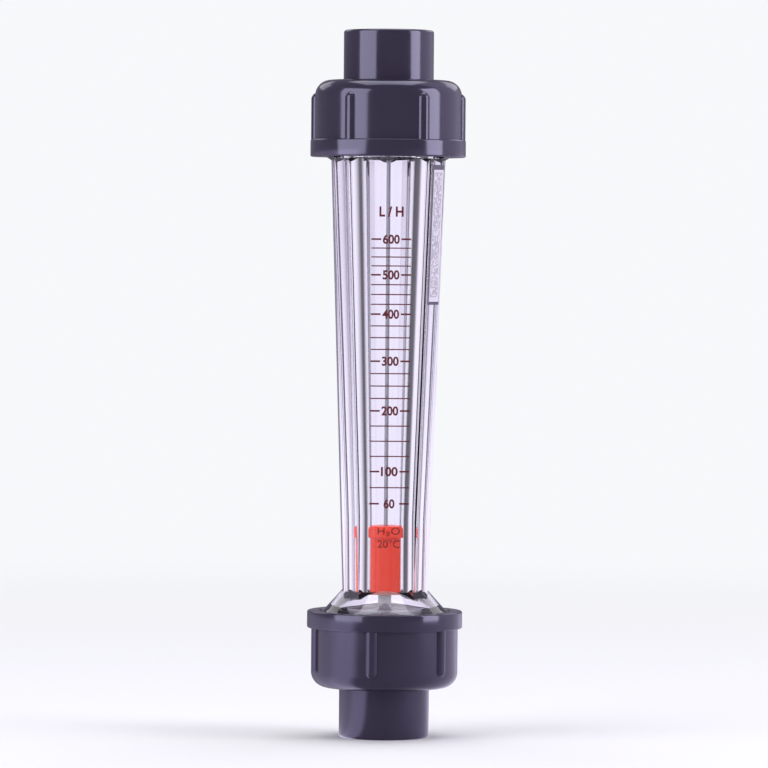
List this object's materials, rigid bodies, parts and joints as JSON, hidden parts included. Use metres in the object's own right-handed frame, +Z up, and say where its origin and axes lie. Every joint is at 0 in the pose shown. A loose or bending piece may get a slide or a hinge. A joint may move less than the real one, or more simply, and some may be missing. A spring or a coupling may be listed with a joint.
{
  "type": "rotameter",
  "caption": "Clear tapered tube flow meter with a printed scale, a red float on a guide rod, and a ribbed union nut with a plain pipe socket at each end.",
  "frame": {"origin": "centre of the lower pipe end's face, on the tube's axis", "axes": "+Z up the tube, from inlet to outlet; the scale faces -Y; the label is on the chamfer between -Y and +X"},
  "size_m": [0.0466, 0.0466, 0.212],
  "materials": {
    "clear_tube": "clear, polished, moulded",
    "steel": "drawn stainless",
    "stop_plastic": "pale grey, moulded",
    "label_film": "printed film, no lettering",
    "float_plastic": "smooth red, moulded",
    "grey_plastic": "dark grey, glossy, moulded",
    "seal_rubber": "smooth black"
  },
  "bodies": {
    "meter_body": {"measuring_tube": "clear_tube", "guide_rod": "steel", "lower_stop": "stop_plastic", "upper_stop": "stop_plastic", "spec_label": "label_film"},
    "float": {"float_shell": "float_plastic", "float_core": "steel", "float_nose": "float_plastic"},
    "lower_pipe_end": {"lower_connector": "grey_plastic", "lower_seal_ring": "seal_rubber"},
    "lower_nut": {"lower_union_nut": "grey_plastic"},
    "upper_pipe_end": {"upper_connector": "grey_plastic", "upper_seal_ring": "seal_rubber"},
    "upper_nut": {"upper_union_nut": "grey_plastic"}
  },
  "joints": [
    {"name": "float_slide", "type": "slide", "parent": "meter_body", "child": "float", "axis": [0, 0, 1], "range_m": [0, 0.112]},
    {"name": "lower_union_travel", "type": "slide", "parent": "meter_body", "child": "lower_pipe_end", "axis": [0, 0, -1], "range_m": [0, 0.0135]},
    {"name": "lower_nut_turn", "type": "hinge", "parent": "lower_pipe_end", "child": "lower_nut", "pos_m": [0, 0, 0.0265], "axis": [0, 0, -1], "range_deg": [0, 1620]},
    {"name": "upper_union_travel", "type": "slide", "parent": "meter_body", "child": "upper_pipe_end", "axis": [0, 0, 1], "range_m": [0, 0.0135]},
    {"name": "upper_nut_turn", "type": "hinge", "parent": "upper_pipe_end", "child": "upper_nut", "pos_m": [0, 0, 0.1855], "axis": [0, 0, 1], "range_deg": [0, 1620]}
  ],
  "couplings": [
    {"joint": "lower_union_travel", "follows": "lower_nut_turn", "m_per_rad": 0.00047746},
    {"joint": "upper_union_travel", "follows": "upper_nut_turn", "m_per_rad": 0.00047746}
  ]
}
